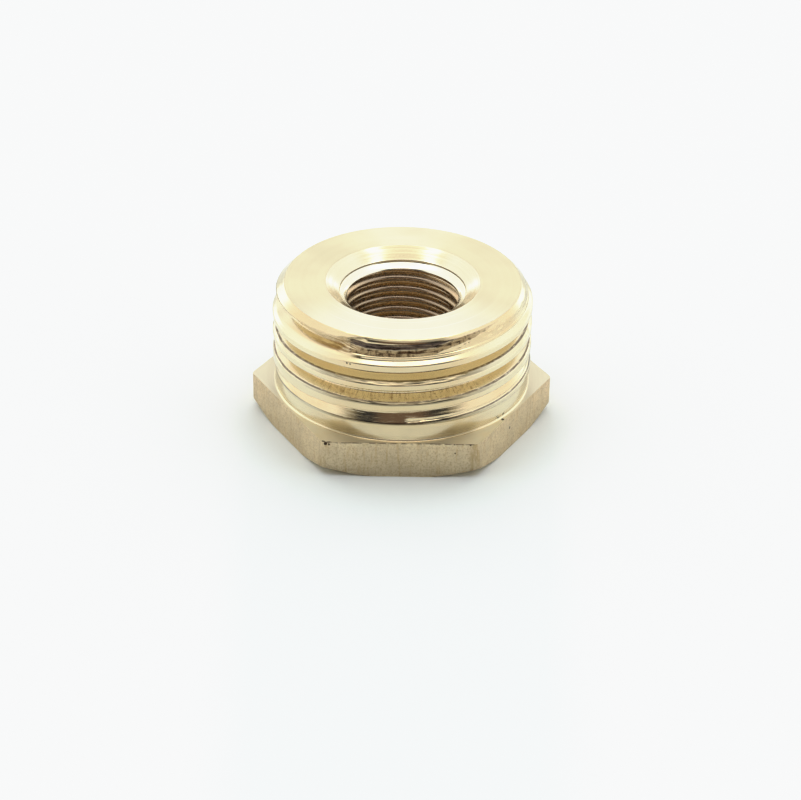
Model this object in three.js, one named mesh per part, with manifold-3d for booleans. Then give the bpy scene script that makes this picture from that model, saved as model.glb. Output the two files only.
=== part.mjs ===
// Hexagon reducing bush, G 1/2 male x G 1/8 female, turned in one piece from 21 mm hexagon brass bar.
// Frame: millimetres, +Z along the common axis of both threads, from the hexagon towards the male nose.
// Origin: centre of the hexagon's flat end face. +X passes through a corner of the hexagon, so the
// flats face -Y, +Y and the four directions 60 degrees apart.
import * as THREE from 'three';
import { mergeVertices } from 'three/addons/utils/BufferGeometryUtils.js';
import Module from 'manifold-3d';

const wasm = await Module();
wasm.setup();
const { Manifold, Mesh } = wasm;

// ---- driving dimensions shared by several sections (mm, degrees) ----
const TOTAL_LENGTH = 11.7; // end face of the hexagon to the nose face
const HEX_HEIGHT = 3.05; // axial length left as hexagon
const MALE_MAJOR_R = 10.375; // G 1/2, inside the 20.671 to 20.955 mm band for the major diameter
const FEMALE_MINOR_R = 4.35; // inside the G 1/8 band of 8.566 to 8.848 mm for the minor diameter
const THREAD_ANGLE = 55; // Whitworth flank angle
const OUTER_SEGMENTS = 56; // facets per turn outside
const INNER_SEGMENTS = 28; // facets per turn in the bore
const CUT_MARGIN = 1; // how far a turned tool reaches past the face it cuts through

const RAD = Math.PI / 180;
const FLANK_SLOPE = Math.tan((THREAD_ANGLE / 2) * RAD); // half width gained per unit of radius

// ---- conversion between three.js geometry and manifold solids ----

// Six times the signed volume; negative when the triangles face inwards.
function signedVolume(geometry) {
  const { position } = geometry.attributes;
  const index = geometry.index.array;
  const [a, b, c] = [new THREE.Vector3(), new THREE.Vector3(), new THREE.Vector3()];
  let volume = 0;
  for (let i = 0; i < index.length; i += 3) {
    a.fromBufferAttribute(position, index[i]);
    b.fromBufferAttribute(position, index[i + 1]);
    c.fromBufferAttribute(position, index[i + 2]);
    volume += a.dot(b.cross(c));
  }
  return volume;
}

function toSolid(geometry) {
  // Only positions count when vertices are merged into a closed surface.
  geometry.deleteAttribute('normal');
  geometry.deleteAttribute('uv');
  const merged = mergeVertices(geometry, 1e-5);
  const triVerts = new Uint32Array(merged.index.array);
  if (signedVolume(merged) < 0) {
    for (let i = 0; i < triVerts.length; i += 3) {
      [triVerts[i + 1], triVerts[i + 2]] = [triVerts[i + 2], triVerts[i + 1]];
    }
  }
  const vertProperties = new Float32Array(merged.attributes.position.array);
  return new Manifold(new Mesh({ numProp: 3, vertProperties, triVerts }));
}

function toGeometry(solid) {
  const { vertProperties, triVerts } = solid.getMesh(); // three properties per vertex: x, y, z
  const geometry = new THREE.BufferGeometry();
  geometry.setAttribute('position', new THREE.Float32BufferAttribute(vertProperties, 3));
  geometry.setIndex(new THREE.Uint32BufferAttribute(triVerts, 1));
  geometry.computeVertexNormals();
  return geometry;
}

const toPoints = (pairs) => pairs.map(([x, y]) => new THREE.Vector2(x, y));

// A solid of revolution about Z from [radius, height] pairs that start and end on the axis.
function turned(profile, segments) {
  const geometry = new THREE.LatheGeometry(toPoints(profile), segments);
  geometry.rotateX(Math.PI / 2); // the lathe's Y axis becomes +Z
  return toSolid(geometry);
}

// ---- thread tools ----

// A right-hand helix run from its top end down to its bottom end. Turn 0 lies at zeroZ in the
// direction zeroAngle. The frames keep the swept section radial (x outwards) and axial (y upwards).
class ThreadPath extends THREE.Curve {
  constructor({ topTurn, bottomTurn, pitch, zeroZ, zeroAngle, radiusAt }) {
    super();
    Object.assign(this, { topTurn, bottomTurn, pitch, zeroZ, zeroAngle, radiusAt });
  }

  turnAt(t) {
    return this.topTurn + (this.bottomTurn - this.topTurn) * t;
  }

  angleAt(t) {
    return this.zeroAngle + this.turnAt(t) * 2 * Math.PI;
  }

  getPoint(t, target = new THREE.Vector3()) {
    const turn = this.turnAt(t);
    const angle = this.angleAt(t);
    const radius = this.radiusAt(turn);
    const z = this.zeroZ + this.pitch * turn;
    return target.set(radius * Math.cos(angle), radius * Math.sin(angle), z);
  }

  // Equal steps in angle, so that the stations match the facets.
  getSpacedPoints(divisions) {
    return this.getPoints(divisions);
  }

  computeFrenetFrames(segments) {
    const frames = { tangents: [], normals: [], binormals: [] };
    for (let i = 0; i <= segments; i++) {
      const angle = this.angleAt(i / segments);
      frames.tangents.push(new THREE.Vector3(Math.sin(angle), -Math.cos(angle), 0));
      frames.normals.push(new THREE.Vector3(Math.cos(angle), Math.sin(angle), 0));
      frames.binormals.push(new THREE.Vector3(0, 0, 1));
    }
    return frames;
  }
}

// Groove section as [radial, axial] pairs. rootSide is -1 for a groove cut inwards and +1 for one
// cut outwards; overshoot is how far the section stands clear of the surface on the other side.
function grooveSection({ pitch, crest, depth, overshoot, rootSide }) {
  const openHalf = (pitch - crest) / 2;
  const rootHalf = openHalf - depth * FLANK_SLOPE;
  const mouthHalf = openHalf + overshoot * FLANK_SLOPE;
  return [
    [rootSide * depth, -rootHalf],
    [rootSide * depth, rootHalf],
    [-rootSide * overshoot, mouthHalf],
    [-rootSide * overshoot, -mouthHalf],
  ];
}

// Sweeps a groove section along a helix, whose ends are moved outwards to whole facets.
function threadTool(section, helix, segments) {
  const topTurn = Math.ceil(helix.topTurn * segments) / segments;
  const bottomTurn = Math.floor(helix.bottomTurn * segments) / segments;
  const geometry = new THREE.ExtrudeGeometry(new THREE.Shape(toPoints(section)), {
    steps: Math.round((topTurn - bottomTurn) * segments),
    extrudePath: new ThreadPath({ ...helix, topTurn, bottomTurn }),
    bevelEnabled: false,
  });
  return toSolid(geometry);
}

// ---- hexagon with rolled corners and a turned chamfer at its end face ----
const HEX_AF = 21.0; // across the flats of the bar
const HEX_CORNER_R = 0.5; // rolled corner of the bar
const HEX_CORNER_ANGLES = [-30, -10, 10, 30]; // points on each rolled corner
const HEX_CHAMFER_R = 10.8; // radius of the chamfer where it meets the end face
const HEX_CHAMFER_ANGLE = 30; // chamfer angle to the end face
const HEX_CHAMFER_RISE = 3.0; // height of the chamfer cone, which ends outside the hexagon

function hexagonOutline() {
  const centreR = HEX_AF / Math.sqrt(3) - HEX_CORNER_R / Math.cos(30 * RAD);
  const points = [];
  for (let k = 0; k < 6; k++) {
    const corner = k * 60 * RAD;
    for (const offset of HEX_CORNER_ANGLES) {
      const angle = corner + offset * RAD;
      points.push([
        centreR * Math.cos(corner) + HEX_CORNER_R * Math.cos(angle),
        centreR * Math.sin(corner) + HEX_CORNER_R * Math.sin(angle),
      ]);
    }
  }
  return new THREE.Shape(toPoints(points));
}

function makeHexagon() {
  const prism = toSolid(
    new THREE.ExtrudeGeometry(hexagonOutline(), { depth: HEX_HEIGHT, bevelEnabled: false }),
  );
  const coneR = HEX_CHAMFER_R + HEX_CHAMFER_RISE / Math.tan(HEX_CHAMFER_ANGLE * RAD);
  const chamferEnvelope = turned(
    [
      [0, 0],
      [HEX_CHAMFER_R, 0],
      [coneR, HEX_CHAMFER_RISE],
      [coneR, HEX_HEIGHT + CUT_MARGIN],
      [0, HEX_HEIGHT + CUT_MARGIN],
    ],
    OUTER_SEGMENTS,
  );
  return prism.intersect(chamferEnvelope);
}

// ---- turned collar, thread blank and nose ----
const BLANK_BASE_Z = 1; // the blank starts inside the hexagon
const COLLAR_R = 10.2; // plain collar between thread and hexagon
const COLLAR_TOP = 4.42; // height at which the collar ends
const COLLAR_FLARE = 0.2; // 45 degree flare that takes the shoulder outside the major radius
const FLARE_LIFT = 0.02; // foot of the flare above the hexagon's shoulder face
const THREAD_START_RISE = 0.16; // height of the cone from collar to major radius
const NOSE_FACE_R = 9.41; // outer radius of the nose face, inside a 45 degree chamfer

function makeBlank() {
  const flareR = COLLAR_R + COLLAR_FLARE;
  const flareFoot = HEX_HEIGHT + FLARE_LIFT;
  const noseChamfer = MALE_MAJOR_R - NOSE_FACE_R;
  return turned(
    [
      [0, BLANK_BASE_Z],
      [flareR, BLANK_BASE_Z],
      [flareR, flareFoot],
      [COLLAR_R, flareFoot + COLLAR_FLARE],
      [COLLAR_R, COLLAR_TOP],
      [MALE_MAJOR_R, COLLAR_TOP + THREAD_START_RISE],
      [MALE_MAJOR_R, TOTAL_LENGTH - noseChamfer],
      [NOSE_FACE_R, TOTAL_LENGTH],
      [0, TOTAL_LENGTH],
    ],
    OUTER_SEGMENTS,
  );
}

// ---- male thread: one continuous groove that runs out above the collar ----
const MALE_PITCH = 1.814; // 14 threads per inch
const MALE_DEPTH = 0.95; // radial depth of the groove
const MALE_CREST = 0.62; // width of the crest flat
const MALE_OVERSHOOT = 0.3; // the tool stands this far outside the blank
const MALE_GROOVE_Z = 8.724; // height of a groove centre in the -Y direction
const MALE_TOP_MARGIN = 1.2; // the tool starts this far above the nose face
const RUN_OUT_LEVEL = 5.096; // groove centre in the -Y direction of the last, shallower turn
const RUN_OUT_SLOPE = 1.2; // share of the groove depth lost per turn in the run-out
const RUN_OUT_SHARE = 0.58; // share of the full depth left at RUN_OUT_LEVEL
const RUN_OUT_MARGIN = 0.06; // share of the depth by which the tool ends clear of the blank

function makeMaleTool() {
  const section = grooveSection({
    pitch: MALE_PITCH,
    crest: MALE_CREST,
    depth: MALE_DEPTH,
    overshoot: MALE_OVERSHOOT,
    rootSide: -1,
  });
  const runOutTurn = (RUN_OUT_LEVEL - MALE_GROOVE_Z) / MALE_PITCH;
  // The tool is lifted outwards once less than the full depth is left.
  const radiusAt = (turn) => {
    const share = RUN_OUT_SHARE + (turn - runOutTurn) * RUN_OUT_SLOPE;
    return MALE_MAJOR_R + Math.max(0, 1 - share) * MALE_DEPTH;
  };
  const helix = {
    topTurn: (TOTAL_LENGTH + MALE_TOP_MARGIN - MALE_GROOVE_Z) / MALE_PITCH,
    bottomTurn: runOutTurn - (RUN_OUT_SHARE + RUN_OUT_MARGIN) / RUN_OUT_SLOPE,
    pitch: MALE_PITCH,
    zeroZ: MALE_GROOVE_Z,
    zeroAngle: -90 * RAD,
    radiusAt,
  };
  return threadTool(section, helix, OUTER_SEGMENTS);
}

// ---- bore with its countersinks ----
const MOUTH_R = 6.18; // countersink at the nose face
const SEAT_R = 5.05; // foot of the countersink
const SEAT_DEPTH = 0.77; // depth of that foot below the nose face
const SEAT_STEP = 0.16; // short parallel step below the countersink
const LEAD_R = 4.45; // foot of the lead-in below the step
const LEAD_DEPTH = 1.355; // depth of that foot below the nose face
const LEAD_END_SLOPE = 0.5; // height per unit of radius from the lead-in's foot to the bore
const BACK_CHAMFER_R = 5.0; // 45 degree countersink at the hexagon end

function makeBore() {
  const seatZ = TOTAL_LENGTH - SEAT_DEPTH;
  const leadZ = TOTAL_LENGTH - LEAD_DEPTH;
  return turned(
    [
      [0, -CUT_MARGIN],
      [BACK_CHAMFER_R + CUT_MARGIN, -CUT_MARGIN],
      [FEMALE_MINOR_R, BACK_CHAMFER_R - FEMALE_MINOR_R],
      [FEMALE_MINOR_R, leadZ - (LEAD_R - FEMALE_MINOR_R) * LEAD_END_SLOPE],
      [LEAD_R, leadZ],
      [SEAT_R, seatZ - SEAT_STEP],
      [SEAT_R, seatZ],
      [MOUTH_R, TOTAL_LENGTH],
      [MOUTH_R, TOTAL_LENGTH + CUT_MARGIN],
      [0, TOTAL_LENGTH + CUT_MARGIN],
    ],
    INNER_SEGMENTS,
  );
}

// ---- female thread ----
const FEMALE_ROOT_R = 4.88; // G 1/8 major diameter 9.728 mm plus a small clearance
const FEMALE_PITCH = 0.941; // 27 threads per inch; 28 per inch (0.907) would fit the same bore
const FEMALE_CREST = 0.2; // width of the crest flat
const FEMALE_OVERSHOOT = 0.12; // the tool stands this far inside the bore
const FEMALE_CREST_Z = 9.5; // height of a crest in the +Y direction
const FEMALE_TOP_DEPTH = 0.35; // the tool starts this far below the nose face, in the countersink
const FEMALE_BOTTOM_Z = -0.7; // the tool ends below the hexagon's end face

function makeFemaleTool() {
  const section = grooveSection({
    pitch: FEMALE_PITCH,
    crest: FEMALE_CREST,
    depth: FEMALE_ROOT_R - FEMALE_MINOR_R,
    overshoot: FEMALE_OVERSHOOT,
    rootSide: 1,
  });
  const grooveZ = FEMALE_CREST_Z - FEMALE_PITCH / 2; // a groove centre in the +Y direction
  const helix = {
    topTurn: (TOTAL_LENGTH - FEMALE_TOP_DEPTH - grooveZ) / FEMALE_PITCH,
    bottomTurn: (FEMALE_BOTTOM_Z - grooveZ) / FEMALE_PITCH,
    pitch: FEMALE_PITCH,
    zeroZ: grooveZ,
    zeroAngle: 90 * RAD,
    radiusAt: () => FEMALE_MINOR_R,
  };
  return threadTool(section, helix, INNER_SEGMENTS);
}

// ---- assembly ----
const solid = makeHexagon()
  .add(makeBlank())
  .subtract(makeMaleTool())
  .subtract(makeBore())
  .subtract(makeFemaleTool());

const brass = new THREE.MeshStandardMaterial({ color: 0xcbb27a, roughness: 0.32, metalness: 1.0 });
const bush = new THREE.Mesh(toGeometry(solid), brass);
bush.name = 'reducing_bush';

const group = new THREE.Group();
group.name = 'reducing_bush_part';
group.add(bush);

export default group;
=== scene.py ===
# One-piece brass reducing bush standing on its hexagon: axis on Z, end face at z = 0, nose up.
# The camera looks from the -Y side, called the front here. Lengths are millimetres up to the
# point where the mesh and the camera are stored in metres.
import math
from functools import cached_property, lru_cache

import bmesh
import bpy
import numpy as np
from mathutils import Matrix, Vector


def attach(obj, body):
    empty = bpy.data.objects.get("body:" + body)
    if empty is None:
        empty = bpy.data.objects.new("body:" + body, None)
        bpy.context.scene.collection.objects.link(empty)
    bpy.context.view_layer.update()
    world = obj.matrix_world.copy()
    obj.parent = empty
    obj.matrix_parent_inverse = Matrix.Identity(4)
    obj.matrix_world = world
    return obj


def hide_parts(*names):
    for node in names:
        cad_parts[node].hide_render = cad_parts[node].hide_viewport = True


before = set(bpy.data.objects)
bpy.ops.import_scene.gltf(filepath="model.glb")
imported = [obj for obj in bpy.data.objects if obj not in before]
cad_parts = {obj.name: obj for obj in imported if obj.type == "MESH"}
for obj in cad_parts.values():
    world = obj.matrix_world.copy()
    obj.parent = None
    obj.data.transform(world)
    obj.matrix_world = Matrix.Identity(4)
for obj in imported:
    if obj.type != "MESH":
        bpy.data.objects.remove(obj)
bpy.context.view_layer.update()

MM = 1000.0  # millimetres in a metre

# ---------------------------------------------------------------- dimensions
HEIGHT = 11.7
ACROSS_FLATS = 21.0
HEX_HEIGHT = 3.05
HEX_CORNER_R = 0.45
CHAMFER_R = 10.8  # where the chamfer under the hexagon starts
CHAMFER_ANGLE = math.radians(30)
COLLAR_R = 10.2
FILLET_R = 0.15
SHOULDER_R = COLLAR_R + FILLET_R  # inner edge of the hexagon's upper face
EDGE_INSET = 0.05  # of the burr, from the flats
NOSE_R = 9.41

HALF_ANGLE_TAN = math.tan(math.radians(27.5))  # thread flank from the radial plane
MALE_R = 10.375
MALE_PITCH = 1.814
GROOVE_Z = 8.516  # lower edge of a male groove at the front
MALE_BOTTOM_Z = 4.25

BORE_R = 4.35
ROOT_R = 4.88
BORE_PITCH = 0.941
CREST_Z = 9.50  # a bore crest at the back
BORE_BOTTOM_Z = 0.12
BORE_TOP_Z = HEIGHT - 1.405
BACK_MOUTH_R = 5.0  # countersink at the hexagon end
SEAT_R = 5.05  # foot of the nose countersink
RIM_R, RIM_DROP = 6.16, 0.012  # upper edge of the nose countersink
CONE_DROP = 0.77  # depth of its foot below the nose face

# Material slots
BOTTOM, FLAT, LEDGE, COLLAR, THREAD, NOSE, CONE, BORE = range(8)
SHARP_ANGLE = math.radians(38)


# ---------------------------------------------------------------- shaping functions
NOISE_ROWS = 512


@lru_cache(maxsize=None)
def lattice(seed, cells):
    return np.random.RandomState(seed).rand(cells, NOISE_ROWS) * 2 - 1


def noise(seed, turn, v, cells):
    """Smooth value noise in -1..1: cells per turn round the axis, one cell per unit of v."""
    grid = lattice(seed, cells)
    x = (np.asarray(turn) % 1.0) * cells
    y = np.asarray(v) % NOISE_ROWS
    i, j = np.floor(x).astype(int), np.floor(y).astype(int)
    fx, fy = x - i, y - j
    fx, fy = fx * fx * (3 - 2 * fx), fy * fy * (3 - 2 * fy)
    i0, i1, j0, j1 = i % cells, (i + 1) % cells, j % NOISE_ROWS, (j + 1) % NOISE_ROWS
    near_row = grid[i0, j0] * (1 - fx) + grid[i1, j0] * fx
    far_row = grid[i0, j1] * (1 - fx) + grid[i1, j1] * fx
    return near_row * (1 - fy) + far_row * fy


def smin(a, b, blend):
    """Minimum with the corner rounded over the width blend."""
    h = np.clip(blend - np.abs(a - b), 0, None) / blend
    return np.minimum(a, b) - h * h * blend * 0.25


def smax(a, b, blend):
    return -smin(-a, -b, blend)


def ramp(x, start, end):
    t = np.clip((x - start) / (end - start), 0, 1)
    return t * t * (3 - 2 * t)


def dome(x, centre, width):
    """1 at the centre, falling smoothly to 0 at width away."""
    return ramp(1 - np.abs(x - centre) / width, 0, 1)


# ---------------------------------------------------------------- male thread
# "along" is turns along the helix, "rise" is height above the groove's lower edge.
# along, depth, lower flank angle (degrees from the radial plane), then where flank and bevel
# meet (depth, rise), foot of the bevel (rise), upper edge (rise)
GROOVE = np.array([
    (-2.75, -0.10, 60, 0.00, -0.24, -0.25, -0.20),
    (-2.45, 0.22, 60, 0.00, -0.24, -0.25, 0.335),
    (-2.00, 0.52, 60, 0.00, -0.24, -0.25, 0.98),
    (-1.70, 0.66, 52, 0.06, -0.17, -0.25, 1.05),
    (-1.40, 0.80, 36, 0.12, -0.12, -0.25, 1.00),
    (-1.00, 0.89, 27.5, 0.18, -0.106, -0.26, 0.99),
    (-0.60, 0.93, 27.5, 0.22, -0.12, -0.32, 0.92),
    (0.00, 0.95, 27.5, 0.276, -0.155, -0.389, 0.80),
    (0.45, 0.98, 27.5, 0.28, -0.20, -0.44, 0.98),
    (0.915, 1.20, 30, 0.33, -0.22, -0.52, 1.42),
    (0.955, 0.72, 79, 0.38, -0.20, -0.50, 1.70),
    (3.00, 0.72, 79, 0.38, -0.20, -0.50, 1.70),
]).T


def groove(along, rise):
    """Radius of the clean groove, and the middle of its bevel."""
    depth, angle, meet_depth, meet, foot, top = (
        np.interp(along, GROOVE[0], column) for column in GROOVE[1:])
    slope = np.tan(np.radians(angle))
    flank = MALE_R - meet_depth - (rise - meet) / slope
    bevel = MALE_R - meet_depth * (rise - foot) / np.maximum(meet - foot, 0.01)
    # tool mark: a step in the run-out, where the last chaser stopped
    stop = ramp(along, -1.997, -1.992) * ramp(along, -1.55, -1.75)
    above = rise - np.interp(along, [-2.0, -1.7, -1.4], [-0.24, -0.16, -0.05])
    shelf = MALE_R - 0.235 - 0.10 * (above - 0.42)
    on_shelf = (above > 0.16) & (above < 0.52)
    stepped = np.where(on_shelf, np.minimum(flank + 0.02, shelf), flank)
    flank = flank * (1 - stop) + stepped * stop
    steep = 1 / slope < meet_depth / np.maximum(meet - foot, 0.01)
    lower = np.where(steep, smax(bevel, flank, 0.04), smin(bevel, flank, 0.04))
    lower = np.where(meet_depth > 0.02, lower, flank)
    upper = MALE_R - (top - rise) / HALF_ANGLE_TAN
    radius = smax(smax(lower, MALE_R - depth, 0.10), upper, 0.03)
    return radius, foot * 0.5 + meet * 0.5


def groove_wear(turn, z, along, rise, bevel_mid):
    """Height of the marks left on the groove."""
    # torn metal in the first groove, where the thread starts across the chamfer
    first = ramp(along, 0.925, 0.95) * ramp(along, 1.30, 1.18)
    tear = (
        0.060 * noise(11, turn, z * 3.2 + 7, cells=130)
        + 0.045 * noise(12, turn, z * 8.0, cells=380)
        + 0.024 * noise(13, turn, z * 15.0, cells=70)
    )
    wear = first * tear * dome(rise, 0.55, 0.55)
    # a smeared ridge along the middle of that face, and a fold along its foot
    ridge_rise = 0.68 + 0.03 * noise(20, turn, 3, cells=40)
    wear = wear + first * 0.035 * dome(rise, ridge_rise, 0.12)
    wear = wear - first * 0.085 * ramp(rise, 0.0, 0.055)
    # the same fold, finer, along the starting turn
    early = ramp(along, 0.30, 0.50) * ramp(along, 0.96, 0.90)
    fold = 0.018 + 0.014 * noise(15, turn, z * 2, cells=90)
    wear = wear + early * fold * dome(rise, -0.24, 0.09)
    # chatter across the flank of the second groove
    second = ramp(along, -1.18, -1.10) * ramp(along, -0.82, -0.90)
    chatter = (0.012 * noise(14, turn, z * 1.4, cells=620)
               + 0.008 * noise(22, turn, z * 14, cells=200))
    wear = wear + second * chatter * dome(rise, 0.12, 0.42)
    # torn streaks along the bevels of the lower crests
    lower_turns = ramp(along, -1.6, -1.3) * ramp(along, 0.55, 0.30)
    streak = (0.022 * noise(17, turn, z * 12, cells=110)
              + 0.010 * noise(21, turn, z * 22, cells=260))
    return wear + lower_turns * streak * dome(rise, bevel_mid, 0.20)


def male_radius(turn, z):
    """turn is 0 at the front and grows towards +X, in [-0.5, 0.5]."""
    turns_up = (z - GROOVE_Z) / MALE_PITCH - turn
    lowest = np.floor(turns_up)
    crest = MALE_R - 0.24 * ramp(z, 10.36, 10.95)  # crests shrink towards the nose
    radius = COLLAR_R + (crest - COLLAR_R) * ramp(z, 4.50, 4.64)  # plain collar below
    for k in (lowest, lowest + 1):
        along = k + turn
        rise = (turns_up - k) * MALE_PITCH
        cut, bevel_mid = groove(along, rise)
        cut = cut + groove_wear(turn, z, along, rise, bevel_mid)
        radius = smin(radius, cut, 0.05)
    # turned chamfer at the nose, with its tool lines
    chamfer = NOSE_R + (HEIGHT - z)
    chamfer = chamfer + 0.0035 * noise(18, 0.3, z * 9.0, cells=4)
    chamfer = chamfer + 0.002 * noise(19, turn, z * 14, cells=9)
    return smin(radius, chamfer, 0.035)


# ---------------------------------------------------------------- bore thread
def bore_radius(turn, z):
    turns_up = (z - CREST_Z) / BORE_PITCH - (turn - 0.5)
    from_crest = np.abs(turns_up - np.round(turns_up)) * BORE_PITCH
    radius = BORE_R + np.clip((from_crest - 0.13) / HALF_ANGLE_TAN, 0, None)
    radius = smin(radius, ROOT_R, 0.10)
    radius = smax(radius, BORE_R, 0.10)
    # relieved below the lead-in, so that the first turn fades out
    relief = 0.42 * np.clip((z - 9.68) / 0.62, 0, 1)
    radius = smax(radius, BORE_R + relief, 0.06)
    seat = np.minimum(SEAT_R - (HEIGHT - z - 0.94) * 1.66, SEAT_R)
    return smax(smax(radius, seat, 0.04), BACK_MOUTH_R - z, 0.04)


# ---------------------------------------------------------------- hexagon outline
def hex_radius(angle):
    """Distance from the axis to the hexagon with rolled corners, a corner at angle 0."""
    t = (angle + math.pi / 6) % (math.pi / 3) - math.pi / 6  # from the nearest corner
    flat = ACROSS_FLATS / 2 / np.cos(math.pi / 6 - np.abs(t))
    centre = ACROSS_FLATS / math.sqrt(3) - HEX_CORNER_R / math.cos(math.pi / 6)
    disc = HEX_CORNER_R ** 2 - (centre * np.sin(t)) ** 2
    arc = centre * np.cos(t) + np.sqrt(np.clip(disc, 0, None))
    # the arc meets the flat where its normal is the flat's normal
    px, py = arc * np.cos(t) - centre, arc * np.sin(t)
    on_arc = (disc > 0) & (np.abs(np.arctan2(py, px)) <= math.pi / 6 + 1e-6)
    return np.where(on_arc, arc, flat)


# ---------------------------------------------------------------- mesh building
def column_turns():
    """Even columns, and four more close to each hexagon corner."""
    even = np.arange(312) / 312.0 - 0.5
    extra = np.array([corner / 6.0 + 0.25 + degrees / 360.0
                      for corner in range(6) for degrees in (-1.25, -0.4167, 0.4167, 1.25)])
    extra = (extra + 0.5) % 1.0 - 0.5
    return np.unique(np.round(np.concatenate([even, extra]), 9))


TURNS = column_turns()
ANGLES = TURNS * 2 * math.pi - math.pi / 2
COS, SIN = np.cos(ANGLES), np.sin(ANGLES)
ALL = np.arange(len(TURNS))
HALF = ALL[::2]
HEX_R = hex_radius(ANGLES)

verts, faces, slots = [], [], []


def add_ring(radius, z, columns=ALL):
    """One vertex per column; returns their indices."""
    cos, sin = COS[columns], SIN[columns]
    radius = np.broadcast_to(radius, cos.shape)
    z = np.broadcast_to(z, cos.shape)
    start = len(verts)
    verts.extend(zip((radius * cos).tolist(), (radius * sin).tolist(), z.tolist()))
    return np.arange(start, len(verts))


def add_face(ids, slot):
    """Adds a face without its repeated corners, if three are left."""
    corners = list(dict.fromkeys(int(i) for i in ids))
    if len(corners) >= 3:
        faces.append(corners)
        slots.append(slot)


def bridge(first, second, slot):
    """Quads between two rings of equal count."""
    for j in range(len(first)):
        k = (j + 1) % len(first)
        add_face([first[j], first[k], second[k], second[j]], slot)


def bridge_half(coarse, fine, slot, flip=False):
    """Triangles between a ring of half the columns and a full one."""
    for j in range(len(coarse)):
        k = (j + 1) % len(coarse)
        f0, f1, f2 = fine[2 * j], fine[2 * j + 1], fine[(2 * j + 2) % len(fine)]
        for tri in ([coarse[j], f0, f1], [coarse[j], f1, coarse[k]], [coarse[k], f1, f2]):
            add_face(tri[::-1] if flip else tri, slot)


def outer_ring(previous, radius, z, slot):
    """Next ring going out and up the outside."""
    ring = add_ring(radius, z)
    bridge(ring, previous, slot)
    return ring


def inner_ring(previous, radius, z, slot):
    """Next ring going in over the nose and down the bore."""
    ring = add_ring(radius, z)
    bridge(previous, ring, slot)
    return ring


def spiral(radius_at, columns, start_z, pitch, places, bottom_z, top_z, bottom, top,
           slot, flip=False):
    """Rows that follow a helix, cut off at two planes where the rings bottom and top lie.
    places are the rows within one pitch."""
    turns = TURNS[columns]
    count, per_turn = len(columns), len(places)
    first = math.floor((bottom_z - start_z) / pitch - 0.5) - 1
    last = math.ceil((top_z - start_z) / pitch + 0.5) + 1
    rows = np.concatenate([np.array(places) + k for k in range(first, last + 1)])
    heights = start_z + pitch * (rows[None, :] + turns[:, None])
    margin = 0.012  # rows closer than this to a plane join its ring
    ids = np.zeros(heights.shape, int)
    for j, column in enumerate(columns):
        radii = radius_at(turns[j], heights[j])
        for i, z in enumerate(heights[j]):
            if z <= bottom_z + margin:
                ids[j, i] = bottom[j]
            elif z >= top_z - margin:
                ids[j, i] = top[j]
            else:
                ids[j, i] = len(verts)
                verts.append((radii[i] * COS[column], radii[i] * SIN[column], z))
    for j in range(count):
        # at the seam the rows shift by one pitch
        k, shift = (j + 1, 0) if j < count - 1 else (0, per_turn)
        for i in range(len(rows) - 1 - shift):
            quad = [ids[j, i], ids[k, i + shift], ids[k, i + 1 + shift], ids[j, i + 1]]
            add_face(quad[::-1] if flip else quad, slot)


# ---------------------------------------------------------------- parts of the surface
def end_face():
    """Lower face from the bore out, then the chamfer under the corners."""
    inner_r = 5.12
    mouth = add_ring(BACK_MOUTH_R, 0.0, HALF)
    ring = add_ring(inner_r, 0.0)
    bridge_half(mouth, ring, BOTTOM, flip=True)
    edge_r = np.minimum(HEX_R, CHAMFER_R)
    for f in (0.2, 0.45, 0.7, 0.9, 1.0):
        ring = outer_ring(ring, inner_r + (edge_r - inner_r) * f, 0.0, BOTTOM)
    chamfer = np.clip(HEX_R - CHAMFER_R, 0, None)
    chamfer_z = chamfer_height()
    for f, slot in ((0.33, BOTTOM), (0.66, BOTTOM), (0.94, FLAT)):
        radius = np.where(chamfer > 0, CHAMFER_R + chamfer * f, HEX_R)
        z = np.where(chamfer > 0, chamfer_z * f, 0.045 * (f / 0.94))
        ring = outer_ring(ring, radius, z, slot)
    return mouth, ring


def chamfer_height():
    return np.clip((HEX_R - CHAMFER_R) * math.tan(CHAMFER_ANGLE), 0, None)


def hexagon_flats(ring):
    foot = np.maximum(chamfer_height() + 0.05, 0.09)
    for f in (0.0, 0.18, 0.36, 0.54, 0.72, 0.88, 0.975):
        z = foot + (HEX_HEIGHT - foot) * f
        uneven = 0.005 * noise(42, TURNS, z.mean() * 2.0, cells=72) - 0.003
        ring = outer_ring(ring, HEX_R + uneven, z, FLAT)
    # sharp parted upper edge with a ragged burr, and one spike near the front -X corner
    burr = 0.5 + noise(43, TURNS, 0.4, cells=190) + 0.5 * noise(44, TURNS, 0.7, cells=400)
    burr = np.clip(burr, 0, 1.4)
    spike_turn, spike_width = -0.0780, 0.0026
    spike = np.exp(-(((TURNS - spike_turn + 0.5) % 1.0 - 0.5) / spike_width) ** 2)
    ring = outer_ring(ring, HEX_R - 0.008, HEX_HEIGHT + 0.010 * burr + 0.10 * spike, FLAT)
    return outer_ring(ring, HEX_R - EDGE_INSET - 0.02 * burr,
                      HEX_HEIGHT + 0.006 * burr + 0.05 * spike, LEDGE)


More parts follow.
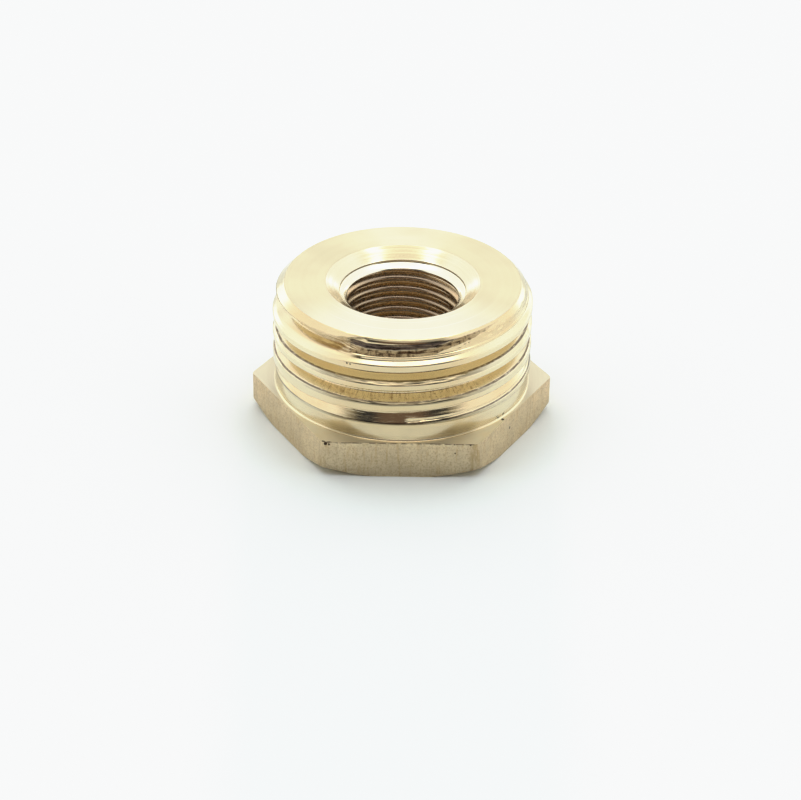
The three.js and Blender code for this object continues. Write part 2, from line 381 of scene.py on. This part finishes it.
def shoulder_and_collar(ring):
    for f in (0.92, 0.8, 0.62, 0.45, 0.3, 0.16, 0.06):
        radius = SHOULDER_R + (HEX_R - EDGE_INSET - SHOULDER_R) * f
        ring = outer_ring(ring, radius, HEX_HEIGHT - 0.004 * math.sin(f * 9.0), LEDGE)
    # small corner radius up to the collar
    for t in (0.0, 0.25, 0.5, 0.75, 1.0):
        angle = t * math.pi / 2
        ring = outer_ring(ring, SHOULDER_R - FILLET_R * math.sin(angle),
                          HEX_HEIGHT + FILLET_R * (1 - math.cos(angle)),
                          LEDGE if t == 0 else COLLAR)
    for z in (3.32, 3.5, 3.7, 3.9, 4.08):
        uneven = 0.0015 * noise(45, TURNS, z * 6, cells=40)
        ring = outer_ring(ring, COLLAR_R + uneven, z, COLLAR)
    return outer_ring(ring, male_radius(TURNS, MALE_BOTTOM_Z), MALE_BOTTOM_Z, COLLAR)


MALE_ROWS = [
    0.0, 0.01, 0.02, 0.03, 0.06, 0.085, 0.11, 0.135, 0.16, 0.185, 0.215, 0.26, 0.31, 0.36,
    0.40, 0.425, 0.45, 0.475, 0.50, 0.525, 0.55, 0.58, 0.62, 0.66, 0.69, 0.715, 0.74, 0.765,
    0.785, 0.805, 0.825, 0.845, 0.865, 0.88, 0.895, 0.91, 0.925, 0.94, 0.96, 0.98,
]
BORE_ROWS = [0.0, 0.12, 0.24, 0.36, 0.43, 0.5, 0.57, 0.64, 0.76, 0.88]


def male_thread(bottom):
    top = add_ring(NOSE_R - 0.01, HEIGHT)
    spiral(male_radius, ALL, GROOVE_Z, MALE_PITCH, MALE_ROWS, MALE_BOTTOM_Z, HEIGHT,
           bottom, top, THREAD)
    return top


NOSE_RADII = (9.34, 9.2, 8.9, 8.5, 8.05, 7.6, 7.15, 6.75, 6.45, 6.28, 6.21)
# Step and lead-in below the countersink: radius, depth below the nose face
LEAD_IN = [
    (5.065, 0.81), (5.07, 0.87), (5.06, 0.93), (5.02, 0.98), (4.96, 1.03), (4.72, 1.10),
    (4.63, 1.18), (4.54, 1.26), (4.465, 1.33), (4.455, 1.355), (4.47, 1.372),
]


def nose_and_countersink(ring):
    for radius in NOSE_RADII:
        ring = inner_ring(ring, radius, HEIGHT + 0.0012 * math.sin(radius * 17.0), NOSE)
    ring = inner_ring(ring, RIM_R, HEIGHT - RIM_DROP, NOSE)
    for f in (0.06, 0.14, 0.19, 0.24, 0.36, 0.41, 0.46, 0.6, 0.75, 0.9, 1.0):
        z = HEIGHT - RIM_DROP - (CONE_DROP - RIM_DROP) * f + 0.006 * math.sin(f * 40.0)
        ring = inner_ring(ring, RIM_R + (SEAT_R - RIM_R) * f, z, CONE)
    for radius, depth in LEAD_IN:
        ring = inner_ring(ring, radius, HEIGHT - depth, CONE)
    return inner_ring(ring, 4.75, HEIGHT - 1.388, BORE)


def bore_thread(ring, mouth):
    top = add_ring(bore_radius(TURNS[HALF], BORE_TOP_Z), BORE_TOP_Z, HALF)
    bridge_half(top, ring, BORE)
    bottom = add_ring(bore_radius(TURNS[HALF], BORE_BOTTOM_Z), BORE_BOTTOM_Z, HALF)
    spiral(bore_radius, HALF, CREST_Z - 0.5 * BORE_PITCH, BORE_PITCH, BORE_ROWS,
           BORE_BOTTOM_Z, BORE_TOP_Z, bottom, top, BORE, flip=True)
    bridge(bottom, mouth, BOTTOM)


def clean_mesh(mesh):
    """Turns faces outwards, drops loose vertices and marks sharp edges off the threads."""
    bm = bmesh.new()
    bm.from_mesh(mesh)
    loose = [v for v in bm.verts if not v.link_faces]
    bmesh.ops.recalc_face_normals(bm, faces=bm.faces[:])
    bmesh.ops.delete(bm, geom=loose, context="VERTS")
    for edge in bm.edges:
        if len(edge.link_faces) == 2:
            f0, f1 = edge.link_faces
            threaded = all(f.material_index in (THREAD, BORE) for f in (f0, f1))
            if not threaded and f0.normal.angle(f1.normal, 0) > SHARP_ANGLE:
                edge.smooth = False
    bm.to_mesh(mesh)
    bm.free()


def build_bush():
    mouth, ring = end_face()
    ring = hexagon_flats(ring)
    ring = shoulder_and_collar(ring)
    ring = male_thread(ring)
    ring = nose_and_countersink(ring)
    bore_thread(ring, mouth)
    mesh = bpy.data.meshes.new("reducing_bush_fine")
    mesh.from_pydata((np.array(verts) / MM).tolist(), [], faces)
    mesh.update()
    mesh.polygons.foreach_set("material_index", np.array(slots, dtype=np.int32))
    mesh.polygons.foreach_set("use_smooth", np.ones(len(faces), dtype=bool))
    bush = bpy.data.objects.new("reducing_bush_body", mesh)
    bpy.context.scene.collection.objects.link(bush)
    clean_mesh(mesh)
    return bush


bush = build_bush()
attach(bush, "root")
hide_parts("reducing_bush")


# ---------------------------------------------------------------- shader graph helpers
class Graph:
    """Node tree of a material or world; paint() lays tints over self.colour in turn."""

    def __init__(self, owner, base):
        owner.use_nodes = True
        self.tree = owner.node_tree
        self.tree.nodes.clear()
        self.colour = base

    def new(self, kind, **props):
        node = self.tree.nodes.new(kind)
        for key, value in props.items():
            setattr(node, key, value)
        return node

    def put(self, socket, value):
        """Links a socket, or sets a value; colours get their alpha."""
        if isinstance(value, bpy.types.NodeSocket):
            self.tree.links.new(value, socket)
        else:
            if isinstance(value, tuple) and socket.type == "RGBA":
                value = (*value, 1.0)
            socket.default_value = value

    def math(self, operation, *values):
        node = self.new("ShaderNodeMath", operation=operation)
        for socket, value in zip(node.inputs, values):
            self.put(socket, value)
        return node.outputs[0]

    def add(self, a, b):
        return self.math("ADD", a, b)

    def sub(self, a, b):
        return self.math("SUBTRACT", a, b)

    def mul(self, a, b):
        return self.math("MULTIPLY", a, b)

    def abs(self, a):
        return self.math("ABSOLUTE", a)

    def vec(self, *parts):
        node = self.new("ShaderNodeCombineXYZ")
        for socket, value in zip(node.inputs, parts):
            self.put(socket, value)
        return node.outputs[0]

    def split(self, vector):
        node = self.new("ShaderNodeSeparateXYZ")
        self.put(node.inputs[0], vector)
        return node.outputs

    def noise(self, vector, scale=1.0, detail=3.0, rough=0.55):
        node = self.new("ShaderNodeTexNoise")
        self.put(node.inputs["Vector"], vector)
        node.inputs["Scale"].default_value = scale
        node.inputs["Detail"].default_value = detail
        node.inputs["Roughness"].default_value = rough
        return node.outputs["Fac"]

    def fade(self, value, start, end, low=0.0, high=1.0, smooth=True):
        """low at start, high at end, held outside them."""
        kind = "SMOOTHSTEP" if smooth else "LINEAR"
        node = self.new("ShaderNodeMapRange", interpolation_type=kind)
        self.put(node.inputs["Value"], value)
        node.inputs["From Min"].default_value = start
        node.inputs["From Max"].default_value = end
        node.inputs["To Min"].default_value = low
        node.inputs["To Max"].default_value = high
        return node.outputs["Result"]

    def window(self, value, in_start, in_end, out_start, out_end):
        """Product of a fade in and a fade out."""
        return self.mul(self.fade(value, in_start, in_end), self.fade(value, out_start, out_end))

    def near(self, value, centre, outer, inner=0.0):
        """1 within inner of the centre, 0 beyond outer."""
        return self.fade(self.abs(self.sub(value, centre)), outer, inner)

    def mix(self, amount, a, b):
        node = self.new("ShaderNodeMix", data_type="RGBA")
        for index, value in ((0, amount), (6, a), (7, b)):
            self.put(node.inputs[index], value)
        return node.outputs[2]

    def paint(self, amount, tint):
        self.colour = self.mix(amount, self.colour, tint)


class Brass(Graph):
    """A brass surface. Position is in millimetres and angles in radians about the axis."""

    def __init__(self, name, base):
        self.material = bpy.data.materials.new(name)
        super().__init__(self.material, base)
        scaled = self.new("ShaderNodeVectorMath", operation="SCALE")
        self.put(scaled.inputs[0], self.new("ShaderNodeTexCoord").outputs["Object"])
        scaled.inputs["Scale"].default_value = MM
        self.pos = scaled.outputs[0]
        self.x, self.y, self.z = self.split(self.pos)

    @cached_property
    def r(self):
        return self.math("SQRT", self.add(self.mul(self.x, self.x), self.mul(self.y, self.y)))

    @cached_property
    def ang(self):
        """0 at the front, growing towards +X."""
        return self.math("ARCTAN2", self.x, self.mul(self.y, -1.0))

    def turns_above(self, start_z, pitch):
        return self.math("DIVIDE", self.sub(self.z, start_z), pitch)

    def side(self):
        """Angle away from the front, either way."""
        return self.abs(self.ang)

    def rings(self, coord, scale, slow=0.05, detail=2.0, seed=0.0):
        """Turning marks: quick along coord, nearly constant round the axis."""
        across = self.add(self.mul(self.x, slow), seed)
        vector = self.vec(self.mul(coord, scale), across, self.mul(self.y, slow))
        return self.noise(vector, detail=detail)

    def wrapped(self, around, up, third, **look):
        """Noise stretched separately round the axis and up it."""
        return self.noise(self.vec(self.mul(self.ang, around), self.mul(self.z, up), third), **look)

    def stretched(self, across, third, **look):
        """Noise with x and y scaled by across."""
        return self.noise(self.vec(self.mul(self.x, across), self.mul(self.y, across), third), **look)

    def blots(self, places):
        """Small irregular dark nicks: (x, y, z, radius)."""
        wobble = self.noise(self.pos, scale=5.0)
        for x, y, z, radius in places:
            node = self.new("ShaderNodeVectorMath", operation="DISTANCE")
            self.put(node.inputs[0], self.pos)
            node.inputs[1].default_value = (x, y, z)
            shift = self.math("MULTIPLY_ADD", wobble, radius * 1.6, -radius * 0.8)
            distance = self.add(node.outputs["Value"], shift)
            self.paint(self.fade(distance, radius * 1.05, radius * 0.75), (0.07, 0.045, 0.03))

    def bump(self, height, depth_mm):
        node = self.new("ShaderNodeBump")
        node.inputs["Strength"].default_value = 1.0
        node.inputs["Distance"].default_value = depth_mm / MM
        self.put(node.inputs["Height"], height)
        return node

    def finish(self, rough, fine, fine_mm, broad=None, broad_mm=0.0, turned=0.0):
        """Metal with fine relief over broad relief; turned is the anisotropy."""
        shader = self.new("ShaderNodeBsdfPrincipled")
        self.put(shader.inputs["Base Color"], self.colour)
        shader.inputs["Metallic"].default_value = 1.0
        self.put(shader.inputs["Roughness"], rough)
        if turned:
            shader.inputs["Anisotropic"].default_value = turned
            shader.inputs["Anisotropic Rotation"].default_value = 0.25
            tangent = self.new("ShaderNodeTangent", direction_type="RADIAL", axis="Z")
            self.put(shader.inputs["Tangent"], tangent.outputs[0])
        bump = self.bump(fine, fine_mm)
        if broad is not None:
            self.put(bump.inputs["Normal"], self.bump(broad, broad_mm).outputs[0])
        self.put(shader.inputs["Normal"], bump.outputs[0])
        output = self.new("ShaderNodeOutputMaterial")
        self.put(output.inputs["Surface"], shader.outputs[0])
        return self.material


# ---------------------------------------------------------------- brass materials
BRIGHT = (0.810, 0.695, 0.467)
WARM = (0.800, 0.672, 0.435)


def end_face_brass():
    g = Brass("brass_end_face", BRIGHT)
    fine = g.rings(g.r, scale=18.0, detail=3.0)
    wide = g.rings(g.r, scale=4.0, slow=0.04, detail=1.0, seed=7.0)
    cloud = g.noise(g.pos, scale=0.4)
    g.paint(g.fade(cloud, 0.35, 0.65), WARM)
    rough = g.add(g.fade(fine, 0.3, 0.7, 0.18, 0.30), g.fade(cloud, 0.4, 0.7, 0.0, 0.06))
    return g.finish(rough, fine, fine_mm=0.0016, broad=wide, broad_mm=0.004)


def flats_brass():
    g = Brass("brass_hexagon_flats", base=(0.76, 0.645, 0.445))
    pepper = g.noise(g.vec(g.x, g.y, g.mul(g.z, 0.8)), scale=7.5, detail=5.0, rough=0.7)
    drawn = g.stretched(2.6, g.mul(g.z, 0.35), scale=1.6, detail=4.0, rough=0.6)
    patch = g.noise(g.pos, scale=0.55)
    specks = g.noise(g.vec(g.x, g.y, g.z), scale=4.2, detail=6.0, rough=0.75)
    scratch = g.stretched(1.2, g.mul(g.z, 13.0), scale=1.3, rough=0.6)
    g.paint(g.fade(patch, 0.38, 0.62), (0.83, 0.71, 0.49))
    # noise, where its tint starts and is full, strength, tint
    for pattern, start, full, strength, tint in (
        (pepper, 0.46, 0.66, 0.50, (0.52, 0.40, 0.245)),
        (drawn, 0.50, 0.72, 0.58, (0.68, 0.52, 0.28)),
        (scratch, 0.54, 0.68, 0.30, (0.50, 0.38, 0.24)),
        (specks, 0.62, 0.69, 0.55, (0.24, 0.165, 0.10)),
    ):
        g.paint(g.mul(g.fade(pattern, start, full), strength), tint)
    # rubbed, browner bands near the two front corners: shifted x, half width
    for centre, width in ((6.35, 0.715), (-5.45, 0.585)):
        across = g.near(g.add(g.x, g.mul(patch, 1.2)), centre, width)
        band = g.mul(across, g.fade(g.y, -9.6, -10.0))
        g.paint(g.mul(band, g.fade(drawn, 0.38, 0.62, 0.10, 0.75)), (0.56, 0.42, 0.22))
    # painted shade towards the foot of the flats, most on the front one: it stands in for the contact
    # shadow they reflect
    foot_shade = g.add(g.mul(g.fade(g.side(), 0.60, 0.50), 0.30), 0.06)
    g.paint(g.mul(g.fade(g.z, 2.9, 0.0, smooth=False), foot_shade), (0.12, 0.10, 0.07))
    # broken dark line along the upper edge of the front flat
    breaks = g.fade(g.noise(g.pos, scale=1.7, detail=4.0), 0.42, 0.55)
    edge = g.mul(g.fade(g.z, 2.95, 3.01), breaks)
    edge = g.mul(edge, g.fade(g.side(), 0.54, 0.48))
    g.paint(g.mul(edge, 0.85), (0.15, 0.10, 0.06))
    g.blots([(-5.85, -10.5, 2.93, 0.15), (-5.55, -10.5, 2.86, 0.10), (5.43, -10.5, 2.98, 0.09),
             (4.2, -10.5, 3.0, 0.07), (4.25, -10.5, 2.2, 0.07), (8.6, -6.0, 1.9, 0.12)])
    rough = g.add(g.fade(pepper, 0.3, 0.7, 0.40, 0.58), g.fade(drawn, 0.3, 0.7, -0.05, 0.05))
    return g.finish(rough, pepper, fine_mm=0.018, broad=drawn, broad_mm=0.030)


def shoulder_brass():
    g = Brass("brass_hexagon_shoulder", base=(0.785, 0.725, 0.575))
    fine = g.rings(g.r, scale=22.0, detail=3.0)
    cloud = g.noise(g.pos, scale=0.6)
    g.paint(g.fade(cloud, 0.35, 0.65), (0.78, 0.70, 0.52))
    # painted reflection: the shoulder is darker from the sides round to the back
    g.paint(g.fade(g.side(), 1.05, 1.35), (0.70, 0.65, 0.515))
    g.blots([(8.0, -6.7, 3.05, 0.14), (-5.98, -10.42, 3.05, 0.16)])
    return g.finish(g.fade(fine, 0.3, 0.7, 0.42, 0.52), fine, fine_mm=0.0012, turned=0.5)


def collar_brass():
    g = Brass("brass_collar", BRIGHT)
    fine = g.rings(g.z, scale=26.0, detail=3.0)
    wide = g.rings(g.z, scale=5.0, slow=0.04, detail=1.0, seed=3.0)
    cloud = g.noise(g.pos, scale=0.5)
    g.paint(g.fade(cloud, 0.35, 0.65), (0.76, 0.65, 0.44))
    # painted reflection: paler at the sides, duller again at the outline
    side = g.side()
    side_reflection_tint = g.mix(g.fade(side, 1.20, 1.48), (0.88, 0.82, 0.62), (0.74, 0.68, 0.52))
    g.paint(g.fade(side, 0.50, 0.95), side_reflection_tint)
    # painted shade in the collar's reflection: a dark patch either side of the front, low on the
    # collar
    shade = g.mul(g.near(side, 0.47, outer=0.20, inner=0.05), g.fade(g.z, 4.2, 3.5))
    g.paint(g.mul(shade, 0.75), (0.46, 0.375, 0.225))
    g.blots([(8.12, -6.30, 3.3, 0.13), (8.3, -6.1, 3.35, 0.08)])
    rough = g.add(g.fade(fine, 0.3, 0.7, 0.14, 0.24), g.fade(g.z, 3.9, 3.3, 0.0, 0.08))
    return g.finish(rough, fine, fine_mm=0.0010, broad=wide, broad_mm=0.003)


def thread_brass():
    g = Brass("brass_thread", BRIGHT)
    # whole part: which turn; fraction: low in the groove, high on the crest
    w = g.sub(g.turns_above(GROOVE_Z, MALE_PITCH), g.math("DIVIDE", g.ang, 2 * math.pi))
    turn = g.math("FLOOR", w)
    frac = g.sub(w, turn)

    # patterns
    fine = g.rings(w, scale=46.0, slow=0.10, detail=3.0)
    ticks = g.wrapped(46.0, 1.6, turn, rough=0.65)
    jag = g.wrapped(3.0, 6.0, 4.0, scale=1.6, detail=4.0, rough=0.7)
    grit_and_shade_noise = g.wrapped(9.0, 5.0, g.mul(g.r, 3.0), scale=2.2, detail=5.0, rough=0.7)
    lines = g.rings(g.z, scale=7.5, slow=0.22, detail=3.0, seed=5.0)
    cloud = g.stretched(0.25, g.mul(w, 2.0), scale=1.6)
    streaks = g.wrapped(3.0, 7.0, 2.0, scale=1.6, detail=5.0, rough=0.7)
    cracks = g.wrapped(24.0, 1.2, 5.0, detail=4.0, rough=0.7)
    overhang_shade_pattern = g.wrapped(2.2, 9.0, 9.0, scale=1.3, detail=4.0, rough=0.65)

    # areas: second groove at the front, the torn start of the thread, and the run-out
    front = g.window(g.ang, -0.95, -0.60, 0.95, 0.60)
    second = g.mul(front, g.window(w, -1.09, -1.05, -0.48, -0.54))
    ragged_start = g.fade(g.add(g.ang, g.mul(jag, 0.45)), -0.245, -0.195)
    torn = g.mul(ragged_start, g.fade(g.ang, 0.95, 0.45))
    # the torn area's lower edge climbs towards +X, and grows rougher
    climb = g.fade(g.ang, 0.24, 0.80, 0.0, 0.42, smooth=False)
    edge_noise = g.noise(g.vec(g.mul(g.ang, 16.0), 3.0, 1.0), detail=2.0)
    edge = g.mul(edge_noise, g.fade(g.ang, 0.24, 0.34, 0.02, 0.16))
    torn_w = g.sub(w, g.add(climb, edge))
    first = g.mul(torn, g.mul(g.fade(torn_w, 1.015, 1.045), g.fade(w, 1.575, 1.545)))
    upper_start = g.fade(g.add(g.ang, g.mul(jag, 0.20)), -0.37, -0.33)
    upper = g.mul(first, g.mul(g.fade(torn_w, 1.325, 1.345), upper_start))
    runout = g.mul(g.fade(w, -1.50, -1.60), g.fade(g.side(), 1.3, 0.9))

    height = g.add(g.mul(ticks, g.add(g.mul(second, 0.9), 0.08)),
                   g.mul(grit_and_shade_noise, g.add(g.mul(first, 1.1), 0.10)))
    height = g.add(height, g.mul(lines, g.mul(runout, 3.0)))

    g.paint(g.fade(cloud, 0.35, 0.68), WARM)
    # torn area, then brown mottling on its -X side
    g.paint(g.mul(first, g.fade(streaks, 0.30, 0.50, 0.55, 1.0)), (0.44, 0.32, 0.175))
    mottle = g.mul(g.window(g.ang, -0.98, -0.55, -0.36, -0.42),
                   g.window(w, 0.93, 0.98, 1.50, 1.35))
    g.paint(g.mul(mottle, g.fade(jag, 0.40, 0.54, 0.0, 0.90)), (0.40, 0.27, 0.13))
    # cracks; then, in its upper part under the chamfer's overhang, painted shade and dark reflection
    # as smear-shaped patches and near-black specks
    g.paint(g.mul(first, g.mul(g.fade(cracks, 0.49, 0.59), 0.85)), (0.12, 0.075, 0.035))
    g.paint(g.mul(upper, g.fade(overhang_shade_pattern, 0.34, 0.50, 0.35, 1.0)), (0.13, 0.095, 0.075))
    g.paint(g.mul(upper, g.mul(g.fade(grit_and_shade_noise, 0.52, 0.64), 0.8)), (0.04, 0.035, 0.03))
    # pale ledge between the two parts
    ledge = g.mul(first, g.window(torn_w, 1.285, 1.30, 1.34, 1.325))
    g.paint(g.mul(ledge, 0.6), (0.60, 0.52, 0.38))
    # painted reflection: the crests are paler at the sides than at the front, the whole thread paler
    # further round, and duller again at the outline
    crest = g.mul(g.near(frac, 0.70, outer=0.30, inner=0.22), g.fade(w, 1.0, 0.9))
    sides = g.math("MAXIMUM", g.mul(crest, g.fade(g.side(), 0.35, 0.85)),
                   g.mul(g.fade(g.side(), 0.98, 1.25), 0.9))
    outline = g.fade(g.side(), 1.20, 1.48)
    g.paint(sides, g.mix(outline, (0.85, 0.785, 0.595), (0.69, 0.635, 0.475)))
    # chatter marks in the second groove
    marks = g.mul(second, g.mul(g.fade(ticks, 0.50, 0.60), g.fade(grit_and_shade_noise, 0.42, 0.56)))
    g.paint(g.mul(marks, 0.62), (0.36, 0.23, 0.10))
    # painted dark reflection and shade along the foot of each groove, broken up by noise
    foot = g.mul(g.near(frac, 0.925, outer=0.034, inner=0.014), g.fade(grit_and_shade_noise, 0.30, 0.50))
    g.paint(g.mul(foot, g.mul(g.fade(w, 0.6, 0.4), 0.85)), (0.15, 0.095, 0.055))
    # brownish streaks along the bevels next to it
    bevel = g.mul(g.near(frac, 0.86, outer=0.085, inner=0.05), g.fade(w, 0.4, 0.2))
    bevel = g.mul(bevel, g.fade(g.side(), 0.95, 0.35, 0.12, 1.0))
    g.paint(g.mul(bevel, g.fade(streaks, 0.38, 0.62, 0.50, 0.98)), (0.30, 0.25, 0.155))
    g.blots([(8.95, -4.9, 10.95, 0.11), (9.2, -4.17, 10.97, 0.09), (9.42, -3.35, 11.2, 0.09),
             (-4.20, -9.47, 9.60, 0.09), (-3.95, -9.58, 9.58, 0.07)])
    rough = g.add(g.fade(fine, 0.3, 0.7, 0.10, 0.20), g.mul(g.add(first, second), 0.06))
    return g.finish(rough, fine, fine_mm=0.0010, broad=height, broad_mm=0.012)


def nose_brass():
    g = Brass("brass_nose_face", base=(0.74, 0.690, 0.550))
    fine = g.rings(g.r, scale=16.0, slow=0.04, detail=3.0)
    wide = g.rings(g.r, scale=3.2, slow=0.03, detail=1.0, seed=4.0)
    cloud = g.noise(g.pos, scale=0.35, detail=2.0)
    g.paint(g.fade(cloud, 0.35, 0.65), (0.735, 0.690, 0.565))
    # painted reflection: duller from the sides round to the back
    side = g.side()
    side_reflection_tint = g.mix(g.fade(side, 2.4, 3.0), (0.675, 0.620, 0.455), (0.70, 0.645, 0.50))
    g.paint(g.fade(side, 0.65, 1.25), side_reflection_tint)
    rough = g.add(g.fade(fine, 0.3, 0.7, 0.30, 0.36), g.fade(cloud, 0.3, 0.7, 0.0, 0.05))
    # two faint tool rings, real marks painted as bright highlights that fade out away from the front
    for radius in (6.78, 7.9):
        ring = g.mul(g.near(g.r, radius, outer=0.07), g.fade(g.side(), 1.3, 0.5))
        g.paint(g.mul(ring, g.fade(cloud, 0.35, 0.6, 0.12, 0.45)), (0.88, 0.84, 0.72))
    return g.finish(rough, fine, fine_mm=0.0008, broad=wide, broad_mm=0.003, turned=0.85)


def countersink_brass():
    g = Brass("brass_countersink", base=(0.78, 0.69, 0.49))
    fine = g.rings(g.r, scale=20.0, detail=3.0)
    wide = g.rings(g.r, scale=6.5, detail=1.0, seed=2.0)
    g.paint(g.fade(wide, 0.35, 0.65), (0.71, 0.625, 0.44))
    # painted highlight: paler at the sides; the step at the foot is painted paler too
    side_highlight = g.mul(g.fade(g.side(), 2.75, 2.30), g.fade(g.side(), 1.25, 1.60))
    g.paint(g.mul(side_highlight, 0.75), (0.88, 0.835, 0.68))
    g.paint(g.fade(g.r, 5.10, 5.06), (0.91, 0.86, 0.71))
    rough = g.fade(fine, 0.3, 0.7, 0.14, 0.26)
    return g.finish(rough, fine, fine_mm=0.0010, broad=wide, broad_mm=0.006, turned=0.6)


def bore_brass():
    g = Brass("brass_bore_thread", base=(0.845, 0.69, 0.465))
    fine = g.wrapped(5.0, 7.0, g.r, scale=2.0, detail=4.0, rough=0.6)
    g.paint(g.fade(fine, 0.35, 0.65), (0.83, 0.675, 0.455))
    # painted dark reflection on the crests at the back; they stay brighter to the sides
    from_back = g.sub(g.math("DIVIDE", g.ang, 2 * math.pi), 0.5)
    turns = g.sub(g.turns_above(CREST_Z, BORE_PITCH), from_back)
    off_crest = g.abs(g.sub(g.math("FRACT", g.add(turns, 0.5)), 0.5))
    crest = g.mul(g.fade(off_crest, 0.36, 0.24), g.fade(g.side(), 1.9, 2.7))
    g.paint(g.mul(crest, 0.8), (0.36, 0.27, 0.20))
    return g.finish(g.fade(fine, 0.3, 0.7, 0.25, 0.29), fine, fine_mm=0.0001)


# in the order of the material slots
for make in (end_face_brass, flats_brass, shoulder_brass, collar_brass, thread_brass,
             nose_brass, countersink_brass, bore_brass):
    bush.data.materials.append(make())


# ---------------------------------------------------------------- floor (metres)
def pale_floor():
    material = bpy.data.materials.new("pale_floor")
    g = Graph(material, base=(0.880, 0.925, 0.918))
    place = g.new("ShaderNodeTexCoord").outputs["Object"]
    x, y, _ = g.split(place)
    spots = g.noise(place, scale=30.0, detail=2.0)
    # painted light: the floor is lighter behind the bush and to its sides, where it thins the bush's
    # shadow, and stays darker in front
    painted_floor_light = g.math("MAXIMUM", g.fade(y, -0.055, 0.045), g.fade(g.abs(x), 0.009, 0.015))
    g.paint(painted_floor_light, (0.945, 0.965, 0.955))
    g.paint(g.mul(g.fade(spots, 0.3, 0.7), 0.02), (0.7, 0.7, 0.7))
    shader = g.new("ShaderNodeBsdfPrincipled")
    g.put(shader.inputs["Base Color"], g.colour)
    shader.inputs["Roughness"].default_value = 0.85
    shader.inputs["Specular IOR Level"].default_value = 0.25
    output = g.new("ShaderNodeOutputMaterial")
    g.put(output.inputs["Surface"], shader.outputs[0])
    return material


def build_floor(half=3.0, drop=0.00003):
    mesh = bpy.data.meshes.new("floor")
    corners = [(-half, -half, 0), (half, -half, 0), (half, half, 0), (-half, half, 0)]
    mesh.from_pydata(corners, [], [(0, 1, 2, 3)])
    floor = bpy.data.objects.new("floor", mesh)
    floor.location.z = -drop
    bpy.context.scene.collection.objects.link(floor)
    mesh.materials.append(pale_floor())


build_floor()


# ---------------------------------------------------------------- studio
def build_studio():
    """A bright tent with a dark gap on the camera's side. Angles are degrees: elevation,
    and azimuth away from the front, either way."""
    world = bpy.data.worlds.new("studio")
    bpy.context.scene.world = world
    g = Graph(world, base=(1.05, 1.06, 1.06))
    x, y, z = g.split(g.new("ShaderNodeTexCoord").outputs["Generated"])
    degrees = 180 / math.pi
    elev = g.mul(g.math("ARCSINE", z), degrees)
    az = g.mul(g.abs(g.math("ARCTAN2", x, g.mul(y, -1.0))), degrees)

    behind = g.mul(g.fade(az, 85, 140), g.window(elev, 2, 14, 66, 46))
    g.paint(behind, (0.95, 0.96, 0.96))
    low_panels = g.mul(g.window(az, 120, 138, 160, 148), g.fade(elev, 20, 11))
    g.paint(low_panels, (1.40, 1.43, 1.45))
    back_strip = g.mul(g.fade(az, 166, 178), g.window(elev, 8, 16, 62, 50))
    g.paint(back_strip, (1.38, 1.42, 1.46))
    sides = g.mul(g.window(az, 45, 60, 125, 100), g.window(elev, 2, 9, 62, 48))
    g.paint(sides, (0.95, 0.985, 1.02))
    # bright band high up, with a softer top
    g.paint(g.fade(elev, 60, 66), (1.85, 1.88, 1.92))
    g.paint(g.fade(elev, 70, 76), (1.02, 1.04, 1.04))
    # the gap: brown in the middle, near black, then olive at its edges
    gap = g.mul(g.mul(g.fade(az, 60, 42), g.fade(elev, 0, 6)), g.fade(elev, 66, 47))
    dark = g.mix(g.fade(az, 19, 27), (0.185, 0.135, 0.110), (0.045, 0.048, 0.055))
    dark = g.mix(g.fade(az, 38, 46), dark, (0.22, 0.19, 0.13))
    g.paint(gap, dark)
    # plain backdrop for the camera
    g.paint(g.new("ShaderNodeLightPath").outputs["Is Camera Ray"], (1.08, 1.13, 1.11))

    background = g.new("ShaderNodeBackground")
    g.put(background.inputs["Color"], g.colour)
    background.inputs["Strength"].default_value = 1.0
    output = g.new("ShaderNodeOutputWorld")
    g.put(output.inputs["Surface"], background.outputs[0])


build_studio()

# ---------------------------------------------------------------- camera
CAMERA_PLACE = (-0.0552, -173.58, 105.19)
CAMERA_PITCH = math.radians(31.057)  # looking down
CAMERA_ROLL = math.radians(0.843)
SENSOR_WIDTH = 36.0
LENS = 111.537079


def build_camera():
    forward = Vector((0, math.cos(CAMERA_PITCH), -math.sin(CAMERA_PITCH)))
    level = Vector((1, 0, 0))
    upright = level.cross(forward)
    right = level * math.cos(CAMERA_ROLL) + upright * math.sin(CAMERA_ROLL)
    up = -level * math.sin(CAMERA_ROLL) + upright * math.cos(CAMERA_ROLL)
    data = bpy.data.cameras.new("camera")
    data.sensor_fit = "HORIZONTAL"
    data.sensor_width = SENSOR_WIDTH
    data.lens = LENS
    data.clip_start, data.clip_end = 0.005, 20.0
    camera = bpy.data.objects.new("camera", data)
    rows = [(right[i], up[i], -forward[i], CAMERA_PLACE[i] / MM) for i in range(3)]
    camera.matrix_world = Matrix((*rows, (0, 0, 0, 1)))
    bpy.context.scene.collection.objects.link(camera)
    bpy.context.scene.camera = camera


build_camera()

# ---------------------------------------------------------------- tone curve with a soft shoulder
TONE_WHITE = 4.0
# scene value, displayed value
TONE = [
    (0.0, 0.0), (0.1, 0.078), (0.25, 0.213), (0.45, 0.42), (0.565, 0.56), (0.64, 0.675),
    (0.71, 0.792), (0.80, 0.902), (0.90, 0.945), (1.0, 0.958), (1.2, 0.965), (1.5, 0.974),
    (2.2, 0.99), (TONE_WHITE, 1.0),
]


def set_tone():
    view = bpy.context.scene.view_settings
    view.view_transform = "Standard"
    view.look = "None"
    view.use_curve_mapping = True
    mapping = view.curve_mapping
    mapping.use_clip = True
    mapping.black_level = (0, 0, 0)
    mapping.white_level = (TONE_WHITE,) * 3
    curve = mapping.curves[3]
    while len(curve.points) < len(TONE):
        curve.points.new(0.5, 0.5)
    for point, (scene_value, shown) in zip(curve.points, TONE):
        point.location = (scene_value / TONE_WHITE, shown)
        point.handle_type = "AUTO_CLAMPED"
    mapping.update()


set_tone()

bpy.context.view_layer.update()
